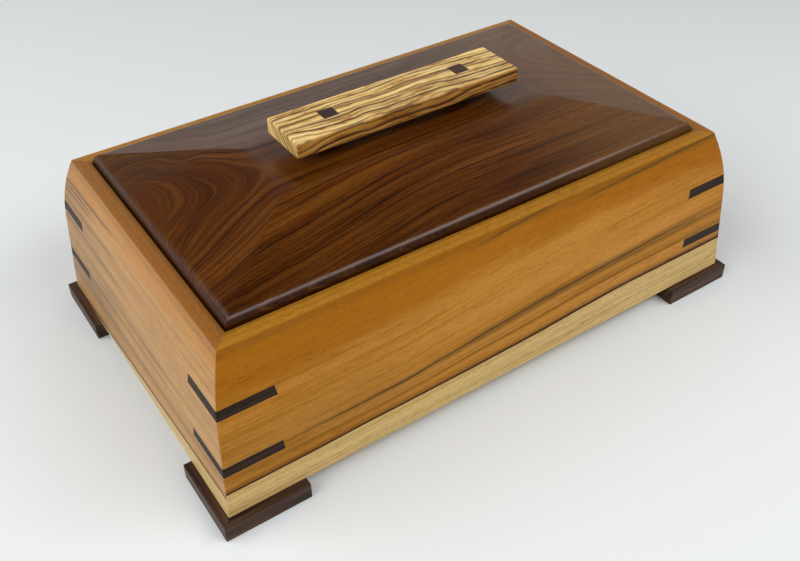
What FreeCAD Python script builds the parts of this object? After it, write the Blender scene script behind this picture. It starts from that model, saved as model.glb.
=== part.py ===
import FreeCAD, Part
import math
import os

# Wooden keepsake box: mitred sides with a curved lean, corner keys, mitred feet and a lift-off lid.
# The origin is on the table under the middle of the box. X runs along the box, Y from front to back.

os.makedirs("parts", exist_ok=True)
V = FreeCAD.Vector

# Box sides
rim_length = 340.0
rim_width = 199.0
rim_height = 113.0
rim_thickness = 9.3
side_lean_deg = 4.5
curve_start_height = 70.0
curve_radius = 143.0
ledge_width = 6.0
ledge_depth = 8.0
corner_arris = 1.0
rim_outer_arris = 0.8
rim_inner_arris = 1.0
bottom_arris = 0.8

# Bottom panel in its groove
groove_height = 8.0
groove_depth = 7.0
panel_thickness = 6.0
panel_slip = 0.2
panel_expansion_gap = 1.0

# Corner keys
key_thickness = 6.35
upper_key_height = 80.3
upper_key_leg = 32.5
lower_key_height = 43.0
lower_key_leg = 35.0

# Feet
foot_height = 11.0
foot_reveal = 4.8
foot_arm_length = 51.5
foot_arm_width = 20.0
foot_arris = 0.5

# Lid
lid_gap = 0.8
lid_edge_rise = 5.0
lid_edge_radius = 6.0
lid_top_rise = 18.0
lid_flat_length = 189.0
lid_flat_width = 56.0
lid_blend_radius = 60.0

# Handle
bar_length = 154.5
bar_width = 35.0
bar_thickness = 10.0
bar_gap = 9.0
bar_edge_radius = 1.2
post_size = 10.0
post_spacing = 92.0
post_back_offset = 2.2
post_sunk_depth = 12.0

# Places worked out from the sizes above
half_length = rim_length / 2
half_width = rim_width / 2
mitre_offset = half_length - half_width
seat_height = rim_height - ledge_depth
ledge_inset = rim_thickness + ledge_width
panel_underside = foot_height + groove_height
flat_height = rim_height + lid_top_rise
bar_underside = flat_height + bar_gap
bar_top = bar_underside + bar_thickness
level_tolerance = 0.001


def side_curve_angles():
    """Angles, from level, at which the curved part of a side starts and ends."""
    start = math.radians(side_lean_deg)
    rise = rim_height - curve_start_height
    end = math.asin(math.sin(start) + rise / curve_radius)
    return start, end


def side_reach(height):
    """How far the outer face stands out beyond the rim's outer edge at a height."""
    start, end = side_curve_angles()
    if height < curve_start_height:
        foot_of_curve = curve_radius * (math.cos(start) - math.cos(end))
        return foot_of_curve + (curve_start_height - height) * math.tan(start)
    turn = math.asin(math.sin(start) + (height - curve_start_height) / curve_radius)
    return curve_radius * (math.cos(turn) - math.cos(end))


def closed_face(points, arc_middles):
    """A flat face through points in order; arc_middles gives the middle of the arc that leaves a point."""
    edges = []
    for i, point in enumerate(points):
        following = points[(i + 1) % len(points)]
        if i in arc_middles:
            edges.append(Part.Arc(point, arc_middles[i], following).toShape())
        else:
            edges.append(Part.LineSegment(point, following).toShape())
    return Part.Face(Part.Wire(edges))


def plan_prism(corners, low, high):
    """An upright prism over a polygon given as (x, y) corners."""
    points = [V(x, y, low) for x, y in corners]
    return closed_face(points, {}).extrude(V(0, 0, high - low))


def corner_turn(before, corner, after, radius):
    """Start, middle and end of an arc of this radius that rounds a corner between two straight lines."""
    back = (before - corner).normalize()
    ahead = (after - corner).normalize()
    half_angle = back.getAngle(ahead) / 2
    reach = radius / math.tan(half_angle)
    inward = (back + ahead).normalize()
    middle = corner + inward * (radius / math.sin(half_angle) - radius)
    return corner + back * reach, middle, corner + ahead * reach


def rounded_face(corners, radii):
    """A flat face through corners, where radii gives the rounding of a corner by its place in the list."""
    points = []
    arc_middles = {}
    for i, corner in enumerate(corners):
        if radii.get(i, 0) > 0:
            following = corners[(i + 1) % len(corners)]
            start, middle, end = corner_turn(corners[i - 1], corner, following, radii[i])
            arc_middles[len(points)] = middle
            points += [start, end]
        else:
            points.append(corner)
    return closed_face(points, arc_middles)


def across(along_x, out, height):
    """A point of a cross-section, out from the middle: along Y for a length that runs along X."""
    return V(0, out, height) if along_x else V(out, 0, height)


def run_along(along_x, face, half_run):
    """Carry a cross-section the same way to both sides of the middle."""
    direction = V(1, 0, 0) if along_x else V(0, 1, 0)
    face.translate(direction * -half_run)
    return face.extrude(direction * (2 * half_run))


def outside_section(along_x, half):
    """The outside from the feet to the rim: a straight lean below and an arc above."""
    heights = (foot_height, curve_start_height, rim_height)
    right = [across(along_x, half + side_reach(z), z) for z in heights]
    left = [across(along_x, -half - side_reach(z), z) for z in reversed(heights)]
    arc_height = (curve_start_height + rim_height) / 2
    arc_out = half + side_reach(arc_height)
    middles = {1: across(along_x, arc_out, arc_height), 3: across(along_x, -arc_out, arc_height)}
    return closed_face(right + left, middles)


def level_edges(shape, height):
    """The edges of a shape that lie level at a height."""
    found = []
    for edge in shape.Edges:
        box = edge.BoundBox
        if abs(box.ZMin - height) < level_tolerance and abs(box.ZMax - height) < level_tolerance:
            found.append(edge)
    return found


def rectangle_prism(inset, low, high):
    """An upright block whose sides lie this far inside the rim's outer edges."""
    x = half_length - inset
    y = half_width - inset
    return plan_prism([(-x, -y), (x, -y), (x, y), (-x, y)], low, high)


def make_box_shell():
    """All four sides in one: curved outside, eased edges, lid recess and panel groove."""
    far = rim_length + rim_width
    shell = run_along(True, outside_section(True, half_width), far)
    shell = shell.common(run_along(False, outside_section(False, half_length), far))
    corners = [edge for edge in shell.Edges if edge.BoundBox.ZLength > level_tolerance]
    shell = shell.makeFillet(corner_arris, corners)
    shell = shell.makeFillet(rim_outer_arris, level_edges(shell, rim_height))
    shell = shell.makeFillet(bottom_arris, level_edges(shell, foot_height))
    recess = rectangle_prism(rim_thickness, seat_height, 2 * rim_height)
    cavity = rectangle_prism(ledge_inset, 0, 2 * rim_height)
    groove_top = panel_underside + panel_thickness + panel_slip
    groove = rectangle_prism(ledge_inset - groove_depth, panel_underside, groove_top)
    shell = shell.cut([recess, cavity, groove])
    recess_edges = []
    for edge in level_edges(shell, rim_height):
        middle = edge.CenterOfMass
        in_x = abs(middle.x) < half_length - rim_thickness + level_tolerance
        in_y = abs(middle.y) < half_width - rim_thickness + level_tolerance
        if in_x and in_y:
            recess_edges.append(edge)
    return shell.makeFillet(rim_inner_arris, recess_edges)


def mitre_wedge(along_x, sign):
    """The space between the mitre planes of the front (-1) and back (1), or the left (-1) and right (1)."""
    far_y = rim_length + rim_width
    far_x = far_y + mitre_offset
    corners = [(-far_x, sign * far_y), (far_x, sign * far_y), (mitre_offset, 0), (-mitre_offset, 0)]
    if not along_x:
        corners = [(sign * far_x, -far_y), (sign * far_x, far_y), (sign * mitre_offset, 0)]
    return plan_prism(corners, 0, rim_height)


def key_slot(sign_x, sign_y, height, leg):
    """The flat slot that a saw cuts across one corner. leg is its length along each face."""
    corner_x = half_length + side_reach(height)
    corner_y = half_width + side_reach(height)
    past = 2 * leg
    corners = [
        (corner_x - leg - past, corner_y + past),
        (corner_x + past, corner_y + past),
        (corner_x + past, corner_y - leg - past),
    ]
    low = height - key_thickness / 2
    return plan_prism([(sign_x * x, sign_y * y) for x, y in corners], low, low + key_thickness)


def box_corners():
    """The four corners as signs of X and Y with their names."""
    for sign_x, end in ((-1, "left"), (1, "right")):
        for sign_y, face in ((-1, "front"), (1, "back")):
            yield sign_x, sign_y, face + "_" + end


def make_sides_and_keys():
    """Cut the key slots through the whole shell, then part it at the mitres."""
    slots = {}
    for sign_x, sign_y, corner in box_corners():
        slots["key_" + corner + "_upper"] = key_slot(sign_x, sign_y, upper_key_height, upper_key_leg)
        slots["key_" + corner + "_lower"] = key_slot(sign_x, sign_y, lower_key_height, lower_key_leg)
    shell = make_box_shell()
    pieces = {name: shell.common(slot) for name, slot in slots.items()}
    slotted = shell.cut(list(slots.values()))
    pieces["front_side"] = slotted.common(mitre_wedge(True, -1))
    pieces["back_side"] = slotted.common(mitre_wedge(True, 1))
    pieces["left_side"] = slotted.common(mitre_wedge(False, -1))
    pieces["right_side"] = slotted.common(mitre_wedge(False, 1))
    return pieces


def make_bottom_panel():
    """A plain panel that lies in the groove, with room for the wood to move."""
    inset = ledge_inset - groove_depth + panel_expansion_gap
    length = rim_length - 2 * inset
    width = rim_width - 2 * inset
    return Part.makeBox(length, width, panel_thickness, V(-length / 2, -width / 2, panel_underside))


def make_feet():
    """Each foot is an L of two arms under a corner, mitred together where they meet."""
    reach = side_reach(foot_height) + foot_reveal
    x = half_length + reach
    y = half_width + reach
    inner_x = x - foot_arm_width
    inner_y = y - foot_arm_width
    end_x = x - foot_arm_length
    end_y = y - foot_arm_length
    plan = [(x, y), (end_x, y), (end_x, inner_y), (inner_x, inner_y), (inner_x, end_y), (x, end_y)]
    feet = {}
    for sign_x, sign_y, corner in box_corners():
        foot = plan_prism([(sign_x * px, sign_y * py) for px, py in plan], 0, foot_height)
        foot = foot.makeFillet(foot_arris, foot.Edges)
        feet["foot_" + corner + "_long_arm"] = foot.common(mitre_wedge(True, sign_y))
        feet["foot_" + corner + "_side_arm"] = foot.common(mitre_wedge(False, sign_x))
    return feet


def lid_section(along_x, half, flat_half):
    """Section of the lid: upright edge, rounded shoulder, sloping face and level middle."""
    edge_height = rim_height + lid_edge_rise
    corners = [
        across(along_x, half, seat_height),
        across(along_x, half, edge_height),
        across(along_x, flat_half, flat_height),
        across(along_x, -flat_half, flat_height),
        across(along_x, -half, edge_height),
        across(along_x, -half, seat_height),
    ]
    radii = {1: lid_edge_radius, 2: lid_blend_radius, 3: lid_blend_radius, 4: lid_edge_radius}
    return rounded_face(corners, radii)


def handle_post(x):
    """A square post from its mortise in the lid to the top of the bar."""
    low = flat_height - post_sunk_depth
    corner = V(x - post_size / 2, post_back_offset - post_size / 2, low)
    return Part.makeBox(post_size, post_size, bar_top - low, corner)


def make_lid():
    """The lid board with the bar and the two posts that carry it."""
    inset = rim_thickness + lid_gap
    lid_half_length = half_length - inset
    lid_half_width = half_width - inset
    lengthwise = lid_section(True, lid_half_width, lid_flat_width / 2)
    crosswise = lid_section(False, lid_half_length, lid_flat_length / 2)
    board = run_along(True, lengthwise, lid_half_length)
    board = board.common(run_along(False, crosswise, lid_half_width))
    bar = Part.makeBox(bar_length, bar_width, bar_thickness,
                       V(-bar_length / 2, -bar_width / 2, bar_underside))
    bar = bar.makeFillet(bar_edge_radius, bar.Edges)
    pieces = {}
    for x, end in ((-post_spacing / 2, "left"), (post_spacing / 2, "right")):
        post = handle_post(x)
        board = board.cut(post)
        bar = bar.cut(post)
        pieces["handle_post_" + end] = post
    pieces["lid_panel"] = board
    pieces["handle_bar"] = bar
    return pieces


def main():
    pieces = make_sides_and_keys()
    pieces["bottom_panel"] = make_bottom_panel()
    pieces.update(make_feet())
    pieces.update(make_lid())
    for name, shape in pieces.items():
        assert shape.isValid() and len(shape.Solids) == 1, name
        shape.Solids[0].exportStep("parts/" + name + ".step")


main()
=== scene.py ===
import math

import bpy
from mathutils import Matrix, Vector

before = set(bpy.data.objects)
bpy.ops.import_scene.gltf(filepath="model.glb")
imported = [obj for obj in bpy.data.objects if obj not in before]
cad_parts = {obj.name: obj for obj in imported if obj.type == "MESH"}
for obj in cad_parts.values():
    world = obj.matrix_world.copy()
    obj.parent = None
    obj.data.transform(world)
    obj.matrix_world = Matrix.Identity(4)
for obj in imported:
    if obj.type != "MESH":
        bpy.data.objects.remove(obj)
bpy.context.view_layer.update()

# A wooden keepsake box: golden sides with dark corner keys, dark feet, a figured brown lid and a veined bar.
# Every wood is a solid pattern, in millimetres from the point on the table under the middle of the box.
MM = 0.001

# Heights on the box, and how far the middle of the rim lies from the middle of the box
RIM_TOP = 113.0
LID_TOP = 131.0
BAR_TOP = 150.0
FRONT_RIM_MIDDLE = 94.9
SIDE_RIM_MIDDLE = 165.4


class Field:
    """A number or a colour that changes from place to place. Sums and products become maths nodes."""

    def __init__(self, finish, socket):
        self.finish = finish
        self.socket = socket

    def __add__(self, other):
        return self.finish.maths("ADD", self, other)

    def __sub__(self, other):
        return self.finish.maths("SUBTRACT", self, other)

    def __rsub__(self, other):
        return self.finish.maths("SUBTRACT", other, self)

    def __mul__(self, other):
        return self.finish.maths("MULTIPLY", self, other)

    def __truediv__(self, other):
        return self.finish.maths("DIVIDE", self, other)

    def __pow__(self, other):
        return self.finish.maths("POWER", self, other)

    def __abs__(self):
        return self.finish.maths("ABSOLUTE", self)

    __radd__ = __add__
    __rmul__ = __mul__


class Finish:
    """One material and the nodes that make it. x, y and z are the place on the piece in millimetres."""

    def __init__(self, name):
        self.material = bpy.data.materials.new(name)
        self.material.use_nodes = True
        self.tree = self.material.node_tree
        self.tree.nodes.clear()
        place = self.node("ShaderNodeTexCoord").outputs["Object"]
        split = self.node("ShaderNodeSeparateXYZ")
        self.tree.links.new(place, split.inputs[0])
        self.x, self.y, self.z = (Field(self, out) * (1 / MM) for out in split.outputs)

    def node(self, kind, **settings):
        made = self.tree.nodes.new(kind)
        for name, value in settings.items():
            setattr(made, name, value)
        return made

    def feed(self, socket, value):
        """Joins a field or a colour to a socket, or sets a plain number there."""
        if isinstance(value, Field):
            self.tree.links.new(value.socket, socket)
        elif isinstance(value, tuple) and len(value) == 3:
            socket.default_value = (*value, 1.0) if len(socket.default_value) == 4 else value
        else:
            socket.default_value = value

    def maths(self, operation, *values):
        made = self.node("ShaderNodeMath", operation=operation)
        for socket, value in zip(made.inputs, values):
            self.feed(socket, value)
        return Field(self, made.outputs[0])

    def fade(self, value, low, high):
        """0 where value is at low, 1 at high, with a smooth turn at both."""
        made = self.node("ShaderNodeMapRange", interpolation_type="SMOOTHSTEP")
        for name, amount in (("Value", value), ("From Min", low), ("From Max", high)):
            self.feed(made.inputs[name], amount)
        return Field(self, made.outputs[0])

    def cloud(self, u, v, w, detail=2.0, rough=0.5, warp=0.0):
        """Soft random shading from 0 to 1, about one unit of u, v and w to a patch."""
        place = self.node("ShaderNodeCombineXYZ")
        for socket, value in zip(place.inputs, (u, v, w)):
            self.feed(socket, value)
        made = self.node("ShaderNodeTexNoise")
        self.tree.links.new(place.outputs[0], made.inputs["Vector"])
        for name, amount in (("Scale", 1.0), ("Detail", detail), ("Roughness", rough), ("Distortion", warp)):
            made.inputs[name].default_value = amount
        return Field(self, made.outputs["Fac"])

    def swing(self, u, v, w, reach, detail=1.0):
        """Soft random shift, up to about reach either way."""
        return (self.cloud(u, v, w, detail) - 0.5) * (2 * reach)

    def run(self, along, points):
        """A smooth line through points given as (place along the piece, height)."""
        first, last = points[0][0], points[-1][0]
        low = min(height for _, height in points)
        high = max(height for _, height in points)
        rise = max(high - low, 1.0)
        made = self.node("ShaderNodeFloatCurve")
        curve = made.mapping.curves[0]
        spots = [((place - first) / (last - first), (height - low) / rise) for place, height in points]
        curve.points[0].location = spots[0]
        curve.points[-1].location = spots[-1]
        for share, level in spots[1:-1]:
            curve.points.new(share, level)
        made.mapping.update()
        self.feed(made.inputs["Value"], (along - first) / (last - first))
        return Field(self, made.outputs[0]) * rise + low

    def stripe(self, value, middle, half_width):
        """1 on a line and 0 a few half widths away from it, as a bell curve."""
        off = (value - middle) / half_width
        return self.maths("EXPONENT", off * off * -1.0)

    def tone(self, value, stops):
        """Colours from a ramp with stops of (value, colour)."""
        made = self.node("ShaderNodeValToRGB")
        ramp = made.color_ramp
        ramp.interpolation = "EASE"
        while len(ramp.elements) < len(stops):
            ramp.elements.new(0.5)
        for element, (place, colour) in zip(ramp.elements, stops):
            element.position = place
            element.color = (*colour, 1.0)
        self.feed(made.inputs[0], value)
        return Field(self, made.outputs[0])

    def stain(self, amount, under, over, way="MIX"):
        """Lays one colour over another by an amount from 0 to 1."""
        made = self.node("ShaderNodeMix", data_type="RGBA", blend_type=way)
        made.clamp_factor = True
        self.feed(made.inputs["Factor"], amount)
        self.feed(made.inputs[6], under)
        self.feed(made.inputs[7], over)
        return Field(self, made.outputs[2])

    def surface(self, colour, rough, relief, gloss=0.5):
        """The finished surface. relief is its height in millimetres."""
        shader = self.node("ShaderNodeBsdfPrincipled")
        self.feed(shader.inputs["Base Color"], colour)
        self.feed(shader.inputs["Roughness"], rough)
        shader.inputs["Specular IOR Level"].default_value = gloss
        bump = self.node("ShaderNodeBump")
        bump.inputs["Distance"].default_value = MM
        self.feed(bump.inputs["Height"], relief)
        self.tree.links.new(bump.outputs[0], shader.inputs["Normal"])
        out = self.node("ShaderNodeOutputMaterial")
        self.tree.links.new(shader.outputs[0], out.inputs["Surface"])
        return self.material


# Golden wood of the sides
STREAK = (0.120, 0.058, 0.008)
EDGE_LINE = (0.060, 0.020, 0.004)
SAPWOOD = (0.52, 0.340, 0.115)
SAPWOOD_PALE = (0.68, 0.490, 0.205)
SAPWOOD_RING = (0.26, 0.120, 0.030)
STREAK_LEVEL = 17.0


def side_wood(name, along_x, lines, marks, tones, gloss, seed):
    """Straight-grained golden wood with a sapwood band below and dark streaks above it.

    lines are three lines through (place along the side, height): the sapwood's edge, the main streak and
    the foot of the deeper coloured wood near the rim. The grain follows the first two, so that a place's
    level is 0 on the sapwood's edge, STREAK_LEVEL on the streak and grows with height past it.
    marks are dark lines in the wood: level, middle along the side, half length, half width, strength.
    tones are dusky, usual, pale and deep wood, and the edge grain on top of the rim.
    """
    wood = Finish(name)
    along, across = (wood.x, wood.y) if along_x else (wood.y, wood.x)
    sapwood_edge, streak, deep_foot = lines
    dusky, usual, pale, deep, rim = tones
    edge = wood.run(along, sapwood_edge)
    above = wood.z - edge
    span = wood.run(along, streak) - edge
    share = wood.maths("MINIMUM", wood.maths("MAXIMUM", above, 0.0), span)
    below = wood.maths("MINIMUM", above, 0.0)
    past = wood.maths("MAXIMUM", above - span, 0.0)
    level = share * STREAK_LEVEL / span + below + past
    level = level + wood.swing(along / 70, wood.z / 14, seed, 0.8, 2.0)
    layer = level - abs(across) * 0.9

    broad = wood.cloud(along / 110, layer / 10, seed + 3.0, 2.0)
    bands = wood.cloud(along / 240, layer / 2.4, seed + 5.0, 3.0, 0.6)
    fibre = wood.cloud(along / 18, layer / 0.55, across / 0.9 + seed, 3.0, 0.6)
    dash = wood.cloud(along / 11, layer / 0.75, across / 2.0 + seed + 9.0, 1.0)
    dash_area = wood.cloud(along / 70, layer / 16, seed + 11.0, 1.0)
    pore = wood.cloud(along / 4.0, layer / 0.30, across / 0.5 + seed + 9.0, 1.0)

    colour = wood.tone(broad * 0.40 + bands * 0.60, ((0.40, dusky), (0.50, usual), (0.59, pale)))
    rise = wood.z - wood.run(along, deep_foot) + wood.swing(along / 40, wood.z / 5, seed + 6.0, 5.0, 2.0)
    colour = wood.stain(wood.fade(rise, -7.0, 7.0) * 0.85, colour, deep)
    colour = wood.stain(wood.fade(bands, 0.54, 0.76) * 0.28, colour, STREAK)
    for mark_level, middle, half_length, half_width, strength in marks:
        reach = wood.fade(abs(along - middle), half_length, half_length * 0.45)
        wavy = wood.swing(along / 30, mark_level + seed, 0.0, 0.45)
        core = wood.stripe(level + wavy, mark_level, half_width)
        haze = wood.stripe(level + wavy, mark_level, half_width * 3.0)
        grain = wood.cloud(along / 24, layer / 0.7, seed + 2.0, 2.0) * 0.9 + 0.5
        colour = wood.stain((core + haze * 0.35) * reach * grain * strength, colour, STREAK)
    edge_shade = wood.stripe(level, 0.4, 0.8) + wood.stripe(level, 1.6, 1.8) * 0.45
    colour = wood.stain(edge_shade, colour, EDGE_LINE)
    sap_bands = wood.cloud(along / 160, level / 1.4, seed + 7.0, 3.0, 0.65)
    sap = wood.tone(sap_bands, ((0.32, SAPWOOD), (0.62, SAPWOOD_PALE)))
    ring_line = wood.stripe(level, -13.0, 0.7) * wood.fade(fibre, 0.25, 0.60) * 0.5
    sap = wood.stain(ring_line, sap, SAPWOOD_RING)
    colour = wood.stain(wood.fade(level, 0.15, -0.35), colour, sap)
    dashes = wood.fade(dash, 0.56, 0.72) * wood.fade(dash_area, 0.35, 0.60)
    colour = wood.stain(dashes * 0.50, colour, (0.48, 0.33, 0.20), "MULTIPLY")
    ripple = wood.cloud(along / 7.0, layer / 2.6, across / 4.0 + seed + 17.0, 2.0)
    colour = wood.stain(wood.fade(ripple, 0.44, 0.62) * 0.10, colour, (0.60, 0.46, 0.28), "MULTIPLY")
    colour = wood.stain(wood.fade(fibre, 0.54, 0.72) * 0.32, colour, (0.50, 0.32, 0.16), "MULTIPLY")
    colour = wood.stain(wood.fade(pore, 0.58, 0.72) * 0.50, colour, (0.42, 0.26, 0.12), "MULTIPLY")
    on_top = wood.fade(wood.z, RIM_TOP - 0.9, RIM_TOP - 0.2)
    colour = wood.stain(wood.stripe(wood.z, RIM_TOP - 2.4, 2.4) * 0.32, colour, STREAK)
    colour = wood.stain(on_top * 0.92, colour, rim)
    # Two dark lines along the top of the rim, the wider one next to the lid
    rim_middle = FRONT_RIM_MIDDLE if along_x else SIDE_RIM_MIDDLE
    rim_place = abs(across) - rim_middle + wood.swing(along / 50, seed + 19.0, 0.0, 0.5)
    rim_lines = wood.stripe(rim_place, -3.0, 1.2) * 0.50 + wood.stripe(rim_place, 0.9, 0.7) * 0.28
    colour = wood.stain(on_top * rim_lines, colour, STREAK)
    curl = wood.cloud(along / 3.2, across / 1.3, seed + 13.0, 2.0)
    colour = wood.stain(on_top * wood.fade(curl, 0.48, 0.62) * 0.40, colour, (0.66, 0.56, 0.36), "MULTIPLY")
    rough = 0.36 + fibre * 0.16
    relief = fibre * 0.02 - wood.fade(pore, 0.58, 0.72) * 0.02
    return wood.surface(colour, rough, relief, gloss)


def dark_wood(name, along_x, tones, seed, slope=0.5, pitch=2.4, gloss=0.2):
    """Dark straight-grained wood, its growth layers leaning by slope and a pitch apart."""
    wood = Finish(name)
    line, body, pale = tones
    along, across = (wood.x, wood.y) if along_x else (wood.y, wood.x)
    layer = (across + wood.z * slope) / math.hypot(1.0, slope)
    layer = layer + wood.swing(along / 60, across / 20, seed, 1.4)
    bands = wood.cloud(along / 150, layer / pitch, seed + 4.0, 3.0, 0.6)
    fibre = wood.cloud(along / 14, layer / 0.45, wood.z / 0.6 + seed, 3.0, 0.6)
    pore = wood.cloud(along / 4.0, layer / 0.35, wood.z / 0.4 + seed, 1.0)
    colour = wood.tone(bands, ((0.36, line), (0.50, body), (0.66, pale)))
    colour = wood.stain(wood.fade(fibre, 0.50, 0.72) * 0.45, colour, (0.35, 0.30, 0.28), "MULTIPLY")
    colour = wood.stain(wood.fade(pore, 0.58, 0.72) * 0.55, colour, (0.25, 0.20, 0.18), "MULTIPLY")
    rough = 0.36 + fibre * 0.20
    relief = fibre * 0.03 - wood.fade(pore, 0.58, 0.72) * 0.03
    return wood.surface(colour, rough, relief, gloss)


# Figured wood of the lid: how far its heart lies below the top, and how far apart its rings are
HEART_DEPTH = 74.0
RING_PITCH = 2.7


def lid_wood():
    """Brown figured wood, cut so that its growth rings lie round a heart far below the board.

    A place's ring is its distance from the heart line, so the level middle shows wide arches, the long
    slopes straight lines and the end slopes nested curves. Under the front slope the heart line runs to the
    back from left to right, and elsewhere it bends to the back at both ends. The rings waver at the left
    end.
    """
    wood = Finish("lid_brown_wood")
    front = wood.fade(wood.y, 4.0, -44.0)
    left_bend = wood.fade(wood.x, -84.0, -150.0) * 22.0
    right_bend = wood.fade(wood.x, 30.0, 130.0) * 34.0
    heart_middle = left_bend + right_bend - 3.0
    heart_front = wood.fade(wood.x, -165.0, 10.0) * 18.0 + 2.0
    heart_y = heart_middle * (1.0 - front) + heart_front * front
    rise = wood.z - LID_TOP + HEART_DEPTH
    wander = wood.swing(wood.x / 42, wood.y / 26, 3.0, 3.2, 1.0) * (1.0 - front * 0.80)
    flame = wood.swing(wood.x / 26, wood.y / 24, 12.0, 2.4, 0.5) * wood.fade(wood.x, -92.0, -120.0)
    off = wood.y - heart_y + wander + flame * 2.0
    ring = (off * off + rise * rise) ** 0.5 + wood.swing(wood.x / 40, wood.y / 14, 8.0, 0.5, 2.0) + flame
    uneven = ring + wood.swing(ring / 7.0, 1.7, 4.0, 2.4)
    turn = wood.maths("FRACT", uneven / RING_PITCH)
    late = wood.fade(turn, 0.60, 0.96) * wood.fade(turn, 1.0, 0.96)
    strength = wood.fade(wood.cloud(ring / 3.2, wood.x / 150, 1.0, 2.0), 0.42, 0.60)
    bands = wood.cloud(ring / 5.0, wood.x / 220, 6.0, 3.0, 0.65)
    hair = wood.cloud(wood.x / 60, ring / 0.7, 2.0, 3.0, 0.7)
    fibre = wood.cloud(wood.x / 12, wood.y / 0.5, wood.z / 0.8, 3.0, 0.6)
    pore = wood.cloud(wood.x / 5.0, wood.y / 0.45, wood.z / 0.5, 1.0)

    colour = wood.tone(bands, (
        (0.36, (0.050, 0.012, 0.0008)),
        (0.50, (0.094, 0.025, 0.0022)),
        (0.64, (0.140, 0.044, 0.0050)),
    ))
    # Painted shade: darker towards the front edge and the left end, a painted shadow under the left end of
    # the bar, and a darker rounded edge below 118.5 mm
    painted_shade = wood.fade(wood.y, -52.0, -92.0) * 0.45 + wood.fade(wood.x, -95.0, -125.0) * 0.20
    painted_shade = painted_shade + wood.stripe(wood.x, -78.0, 20.0) * wood.fade(abs(wood.y), 34.0, 20.0) * 0.45
    painted_shade = painted_shade + wood.fade(wood.z, 118.5, 116.0) * 0.80
    colour = wood.stain(painted_shade, colour, (0.042, 0.010, 0.0007))
    colour = wood.stain(late * (0.15 + strength * 0.70), colour, (0.015, 0.0036, 0.0005))
    colour = wood.stain(wood.fade(hair, 0.50, 0.64) * 0.50, colour, (0.42, 0.31, 0.22), "MULTIPLY")
    colour = wood.stain(wood.fade(hair, 0.47, 0.34) * 0.32, colour, (0.18, 0.064, 0.009))
    # Painted sheen on the back slope: paler grey-brown on some bands, then a greyer brown over the whole
    # back of the lid
    back = wood.fade(wood.y, 20.0, 48.0) * wood.fade(wood.x, -120.0, -80.0) * wood.fade(bands, 0.48, 0.60)
    colour = wood.stain(back * 0.6, colour, (0.14, 0.090, 0.052))
    colour = wood.stain(wood.fade(wood.y, 24.0, 44.0) * 0.28, colour, (0.052, 0.036, 0.020))
    # Painted sheen: the lid paler towards its right end
    colour = wood.stain(wood.fade(wood.x, 20.0, 130.0) * 0.38, colour, (0.20, 0.100, 0.030))
    colour = wood.stain(wood.fade(fibre, 0.52, 0.74) * 0.35, colour, (0.40, 0.32, 0.26), "MULTIPLY")
    colour = wood.stain(wood.fade(pore, 0.58, 0.70) * 0.60, colour, (0.22, 0.16, 0.12), "MULTIPLY")
    rough = 0.16 + fibre * 0.12
    relief = fibre * 0.010 - wood.fade(pore, 0.58, 0.72) * 0.012
    return wood.surface(colour, rough, relief, gloss=0.28)


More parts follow.
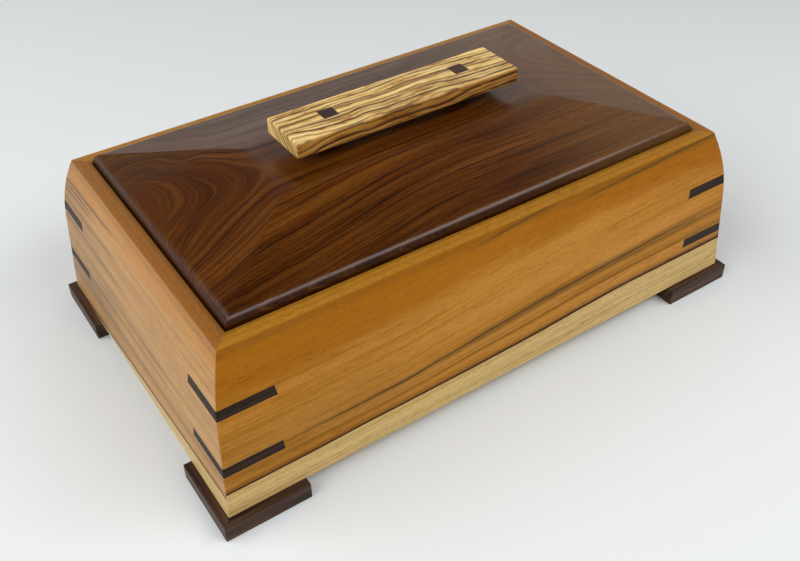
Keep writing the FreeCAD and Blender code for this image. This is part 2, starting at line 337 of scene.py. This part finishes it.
def bar_wood():
    """Pale gold wood with dark wavy veins.

    The wood lies in layers that dip to the front, so that the top, the front and the ends share their veins.
    Four lines through (place along the bar, place across its top) bend the layers. Each goes with one level,
    and a place's level is read between the two lines on its two sides.
    """
    wood = Finish("bar_veined_wood")
    across = wood.y + (BAR_TOP - wood.z) * 1.15 + wood.swing(wood.x / 11, wood.y / 5, wood.z / 5, 0.9, 4.0)
    lines = (
        (12.0, ((-78, 12.1), (-40, 12.5), (-22, 11.7), (14, 13.8), (41, 12.5), (78, 9.2))),
        (5.0, ((-78, 3.4), (-50, 3.0), (-38, 6.5), (-12, 5.0), (17, 6.5), (50, 4.6), (78, 2.7))),
        (-4.0, (
            (-78, -1.8), (-58, -3.3), (-38, -4.8), (-28, -3.6), (-9, -5.0),
            (3, -4.2), (13, -3.4), (24, -4.6), (42, -7.6), (60, -8.4), (78, -9.0),
        )),
        (-10.0, (
            (-78, -5.4), (-68, -7.0), (-58, -10.0), (-38, -11.2), (-28, -10.2), (-13, -11.4),
            (4, -10.8), (20, -10.4), (34, -12.4), (50, -14.0), (78, -14.4),
        )),
    )
    heights = [(mark, wood.run(wood.x, points)) for mark, points in lines]
    level = wood.maths("MAXIMUM", across - heights[0][1], 0.0) + heights[0][0]
    for (upper_mark, upper), (lower_mark, lower) in zip(heights, heights[1:]):
        share = (upper - across) / (upper - lower)
        share = wood.maths("MINIMUM", wood.maths("MAXIMUM", share, 0.0), 1.0)
        level = level - share * (upper_mark - lower_mark)
    level = level + wood.maths("MINIMUM", across - heights[-1][1], 0.0)

    smoke = wood.cloud(wood.x / 17, level / 4.0, wood.z / 14, 3.0, 0.6)
    patchy = wood.cloud(wood.x / 20, level / 1.8, 5.0, 2.0)
    fibre = wood.cloud(wood.x / 10, wood.y / 0.5, wood.z / 0.5, 3.0, 0.6)
    colour = wood.tone(smoke, (
        (0.36, (0.60, 0.335, 0.082)),
        (0.47, (0.81, 0.535, 0.174)),
        (0.64, (0.91, 0.665, 0.280)),
    ))
    colour = wood.stain(wood.fade(smoke, 0.44, 0.30) * 0.85, colour, (0.32, 0.150, 0.030))
    # Slanting streaks over the front half of the bar, between the posts
    fan = wood.cloud((wood.x + across * 0.30) / 24, (across * 0.97 - wood.x * 0.22) / 0.9, 7.0, 1.0)
    fan_area = wood.fade(level, 2.0, -1.0) * wood.fade(abs(wood.x - 8.0), 50.0, 30.0)
    colour = wood.stain(wood.fade(fan, 0.50, 0.66) * fan_area * 0.45, colour, (0.28, 0.120, 0.018))
    veins = (
        (14.6, 0.45, 0.6), (12.0, 0.60, 0.9), (8.6, 0.35, 0.7), (5.0, 0.75, 1.0), (3.0, 0.45, 0.8),
        (-1.4, 0.50, 0.8), (-4.0, 0.70, 1.0), (-7.0, 0.40, 0.6), (-10.0, 0.80, 1.0),
        (-15.0, 0.60, 0.7), (-21.0, 0.80, 0.8),
    )
    for mark, half_width, strength in veins:
        spread = half_width * (patchy * 1.6 + 0.35)
        soft = wood.stripe(level, mark - half_width, spread * 2.4) * (patchy * 1.5 - 0.15)
        colour = wood.stain(soft * strength * 0.70, colour, (0.30, 0.130, 0.020))
        fine = wood.stripe(level, mark, spread) * wood.fade(patchy, 0.24, 0.46)
        colour = wood.stain(fine * strength, colour, (0.058, 0.021, 0.001))
    colour = wood.stain(wood.fade(fibre, 0.52, 0.74) * 0.35, colour, (0.60, 0.42, 0.22), "MULTIPLY")
    colour = wood.stain(wood.fade(wood.y, -16.6, -17.3), colour, (0.60, 0.42, 0.21), "MULTIPLY")
    rough = 0.34 + fibre * 0.16
    return wood.surface(colour, rough, fibre * 0.015, gloss=0.3)


def panel_wood():
    """Pale plain wood of the bottom board, seen only with the lid off."""
    wood = Finish("panel_pale_wood")
    layer = wood.y + wood.swing(wood.x / 90, wood.y / 30, 2.0, 3.0)
    bands = wood.cloud(wood.x / 220, layer / 4.0, 1.0, 3.0, 0.6)
    fibre = wood.cloud(wood.x / 14, layer / 0.5, wood.z / 0.6, 3.0, 0.6)
    colour = wood.tone(bands, ((0.30, (0.42, 0.25, 0.10)), (0.70, (0.60, 0.40, 0.19))))
    colour = wood.stain(wood.fade(fibre, 0.54, 0.76) * 0.35, colour, (0.50, 0.36, 0.22), "MULTIPLY")
    return wood.surface(colour, 0.45 + fibre * 0.15, fibre * 0.02)


def dress(piece, material):
    """Puts one finish on every part of a piece."""
    slots = piece.data.materials
    slots.clear()
    slots.append(material)


def finish_sides():
    """The four sides, each from its own stretch of the board."""
    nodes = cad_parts
    front_edge = ((-186, 27.4), (-86, 28.3), (14, 30.0), (64, 32.4), (110, 33.6), (186, 33.6))
    front_streak = ((-186, 45.0), (-86, 44.6), (-46, 47.6), (-11, 51.6), (64, 57.0), (186, 61.6))
    front_deep = ((-186, 84.0), (-60, 87.0), (0, 95.0), (60, 95.0), (186, 88.0))
    front_marks = (
        (20.0, -180, 150, 16.0, 0.20),
        (73.5, 40, 80, 0.8, 0.60),
        (68.0, 140, 110, 0.8, 0.70),
        (17.0, 10, 200, 0.9, 0.85),
        (15.0, 90, 200, 0.6, 0.50),
        (18.8, 60, 180, 0.4, 0.35),
        (8.8, 0, 260, 0.5, 0.50),
        (11.2, 60, 180, 0.4, 0.30),
    )
    left_edge = ((-116, 25.0), (-52, 21.4), (-2, 18.0), (48, 14.0), (116, 10.4))
    left_streak = ((-116, 38.6), (-52, 37.6), (-2, 36.4), (48, 35.0), (116, 33.0))
    left_deep = ((-116, 104.0), (0, 100.0), (116, 96.0))
    left_marks = (
        (24.0, 110, 110, 16.0, 0.32),
        (66.0, 130, 90, 15.0, 0.22),
        (14.5, 10, 200, 1.8, 0.45),
        (27.5, 25, 90, 0.9, 0.40),
        (35.0, 5, 70, 0.7, 0.60),
        (56.5, 70, 70, 0.9, 0.50),
        (70.5, 70, 66, 0.8, 0.60),
        (77.0, 95, 45, 0.7, 0.65),
        (80.4, 95, 45, 0.6, 0.70),
        (83.6, 75, 62, 0.6, 0.90),
    )
    back_edge = ((-186, 33.0), (-60, 31.0), (60, 28.6), (186, 26.0))
    back_streak = ((-186, 58.0), (-60, 54.0), (60, 47.0), (186, 44.0))
    back_deep = ((-186, 106.0), (-40, 98.0), (60, 88.0), (186, 84.0))
    back_marks = ((17.0, -30, 220, 1.2, 0.6), (42.0, 80, 150, 0.9, 0.4), (9.0, 30, 240, 0.8, 0.4))
    right_edge = ((-116, 33.6), (-40, 32.6), (40, 33.4), (116, 33.0))
    right_streak = ((-116, 61.6), (-40, 60.0), (40, 58.6), (116, 58.0))
    right_deep = ((-116, 106.0), (0, 102.0), (116, 105.0))
    right_marks = ((17.0, 0, 200, 1.2, 0.6), (12.0, 20, 150, 0.8, 0.5), (45.0, -30, 110, 0.8, 0.3))
    warm = (
        (0.42, 0.170, 0.014),
        (0.52, 0.225, 0.030),
        (0.56, 0.250, 0.042),
        (0.36, 0.120, 0.0008),
        (0.375, 0.162, 0.014),
    )
    soft = (
        (0.38, 0.190, 0.048),
        (0.49, 0.250, 0.064),
        (0.54, 0.285, 0.082),
        (0.50, 0.210, 0.024),
        (0.265, 0.088, 0.001),
    )
    sides = (
        ("front", True, (front_edge, front_streak, front_deep), front_marks, warm, 0.08, 1.3),
        ("back", True, (back_edge, back_streak, back_deep), back_marks, warm, 0.3, 21.7),
        ("left", False, (left_edge, left_streak, left_deep), left_marks, soft, 0.5, 41.1),
        ("right", False, (right_edge, right_streak, right_deep), right_marks, soft, 0.3, 63.9),
    )
    for side, along_x, lines, marks, tones, gloss, seed in sides:
        golden = side_wood(side + "_golden_wood", along_x, lines, marks, tones, gloss, seed)
        dress(nodes[side + "_side"], golden)


def finish_dark_pieces():
    """Keys near black, posts and feet dark brown, the feet with a grain line along each arm."""
    key_tones = ((0.012, 0.006, 0.003), (0.028, 0.014, 0.008), (0.052, 0.028, 0.017))
    post_tones = ((0.022, 0.009, 0.004), (0.044, 0.019, 0.010), (0.078, 0.036, 0.019))
    foot_tones = ((0.018, 0.008, 0.004), (0.052, 0.024, 0.012), (0.105, 0.054, 0.030))
    key = dark_wood("key_dark_wood", True, key_tones, 5.0, slope=6.0, pitch=1.6, gloss=0.12)
    post = dark_wood("post_dark_wood", True, post_tones, 15.0, slope=0.2, pitch=2.0, gloss=0.25)
    long_arm = dark_wood("foot_dark_wood_long_arm", True, foot_tones, 31.0)
    side_arm = dark_wood("foot_dark_wood_side_arm", False, foot_tones, 47.0)
    for name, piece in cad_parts.items():
        if name.startswith("key_"):
            dress(piece, key)
        elif name.startswith("handle_post"):
            dress(piece, post)
        elif name.startswith("foot_"):
            dress(piece, long_arm if name.endswith("long_arm") else side_arm)


# Camera, floor and light. The picture is 800 dots wide.
FRAME_WIDTH = 800
FLOOR_HALF_WIDTH = 6.0
FLOOR_COLOUR = (0.79, 0.815, 0.82)
CAMERA_PLACE = (-0.27413, -0.40998, 0.41990)
CAMERA_TURN = -0.59016
CAMERA_TILT = -0.69892
CAMERA_ROLL = -0.01079
FOCAL_PIXELS = 941.09
SENSOR_WIDTH = 36.0


def place_camera():
    """Looks along a level turn from +Y and a tilt from level, then rolls about the line of sight."""
    level = math.cos(CAMERA_TILT)
    ahead = Vector((-math.sin(CAMERA_TURN) * level, math.cos(CAMERA_TURN) * level, math.sin(CAMERA_TILT)))
    right = ahead.cross(Vector((0, 0, 1))).normalized()
    up = right.cross(ahead)
    rolled_right = right * math.cos(CAMERA_ROLL) + up * math.sin(CAMERA_ROLL)
    rolled_up = up * math.cos(CAMERA_ROLL) - right * math.sin(CAMERA_ROLL)
    lens = bpy.data.cameras.new("camera")
    lens.sensor_width = SENSOR_WIDTH
    lens.lens = FOCAL_PIXELS * SENSOR_WIDTH / FRAME_WIDTH
    lens.clip_start = 0.01
    camera = bpy.data.objects.new("camera", lens)
    turned = Matrix((rolled_right, rolled_up, -ahead)).transposed().to_4x4()
    camera.matrix_world = Matrix.Translation(CAMERA_PLACE) @ turned
    bpy.context.scene.collection.objects.link(camera)
    bpy.context.scene.camera = camera


def lay_floor():
    """A plain pale floor, large enough to fill every view."""
    half = FLOOR_HALF_WIDTH
    mesh = bpy.data.meshes.new("floor")
    corners = [(-half, -half, 0), (half, -half, 0), (half, half, 0), (-half, half, 0)]
    mesh.from_pydata(corners, [], [(0, 1, 2, 3)])
    floor = bpy.data.objects.new("floor", mesh)
    bpy.context.scene.collection.objects.link(floor)
    paper = Finish("floor_pale_paper")
    grain = paper.cloud(paper.x / 3, paper.y / 3, paper.z, 2.0)
    dress(floor, paper.surface(FLOOR_COLOUR, 0.75 + grain * 0.1, grain * 0.005, gloss=0.2))


def soft_light(name, place, width, height, power):
    """A flat rectangular white lamp that faces the foot of the box."""
    lamp = bpy.data.lights.new(name, "AREA")
    lamp.shape = "RECTANGLE"
    lamp.size = width
    lamp.size_y = height
    lamp.energy = power
    holder = bpy.data.objects.new(name, lamp)
    holder.location = place
    holder.rotation_mode = "QUATERNION"
    holder.rotation_quaternion = (-Vector(place)).to_track_quat("-Z", "Y")
    bpy.context.scene.collection.objects.link(holder)


def light_studio():
    """A pale surround and two wide lamps.

    The surround is brightest in a low band that climbs to the right, and dark overhead, so that the lid
    shines on its back and right slopes only. How bright it is depends on height less a share of x.
    In front of the box it is half as bright, so that the front edge of the lid stays dark.
    """
    world = bpy.data.worlds.new("studio")
    bpy.context.scene.world = world
    world.use_nodes = True
    tree = world.node_tree
    tree.nodes.clear()
    place = tree.nodes.new("ShaderNodeTexCoord")
    split = tree.nodes.new("ShaderNodeSeparateXYZ")
    tree.links.new(place.outputs["Generated"], split.inputs[0])
    lean = tree.nodes.new("ShaderNodeMath")
    lean.operation = "MULTIPLY_ADD"
    lean.inputs[1].default_value = -0.35
    tree.links.new(split.outputs[0], lean.inputs[0])
    tree.links.new(split.outputs[2], lean.inputs[2])
    ramp = tree.nodes.new("ShaderNodeValToRGB")
    ramp.color_ramp.interpolation = "EASE"
    stops = ((0.0, 0.40), (0.04, 0.42), (0.20, 0.98), (0.29, 0.97), (0.46, 0.32), (0.60, 0.05), (1.0, 0.04))
    while len(ramp.color_ramp.elements) < len(stops):
        ramp.color_ramp.elements.new(0.5)
    for element, (height, grey) in zip(ramp.color_ramp.elements, stops):
        element.position = height
        element.color = (grey * 0.97, grey * 0.99, grey, 1.0)
    tree.links.new(lean.outputs[0], ramp.inputs[0])
    glow = tree.nodes.new("ShaderNodeBackground")
    tree.links.new(ramp.outputs[0], glow.inputs[0])
    dim = tree.nodes.new("ShaderNodeMapRange")
    dim.interpolation_type = "SMOOTHSTEP"
    for name, amount in (("From Min", -0.5), ("From Max", 0.1), ("To Min", 0.5), ("To Max", 1.0)):
        dim.inputs[name].default_value = amount
    tree.links.new(split.outputs[1], dim.inputs["Value"])
    tree.links.new(dim.outputs[0], glow.inputs[1])
    out = tree.nodes.new("ShaderNodeOutputWorld")
    tree.links.new(glow.outputs[0], out.inputs[0])
    soft_light("front_lamp", (0.50, -0.90, 1.15), 1.3, 0.6, 13.0)
    soft_light("left_lamp", (-1.25, 0.15, 1.25), 2.4, 1.2, 30.5)
    view = bpy.context.scene.view_settings
    view.view_transform = "Standard"
    view.look = "None"


place_camera()
lay_floor()
light_studio()
finish_sides()
finish_dark_pieces()
dress(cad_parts["lid_panel"], lid_wood())
dress(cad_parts["handle_bar"], bar_wood())
dress(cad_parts["bottom_panel"], panel_wood())
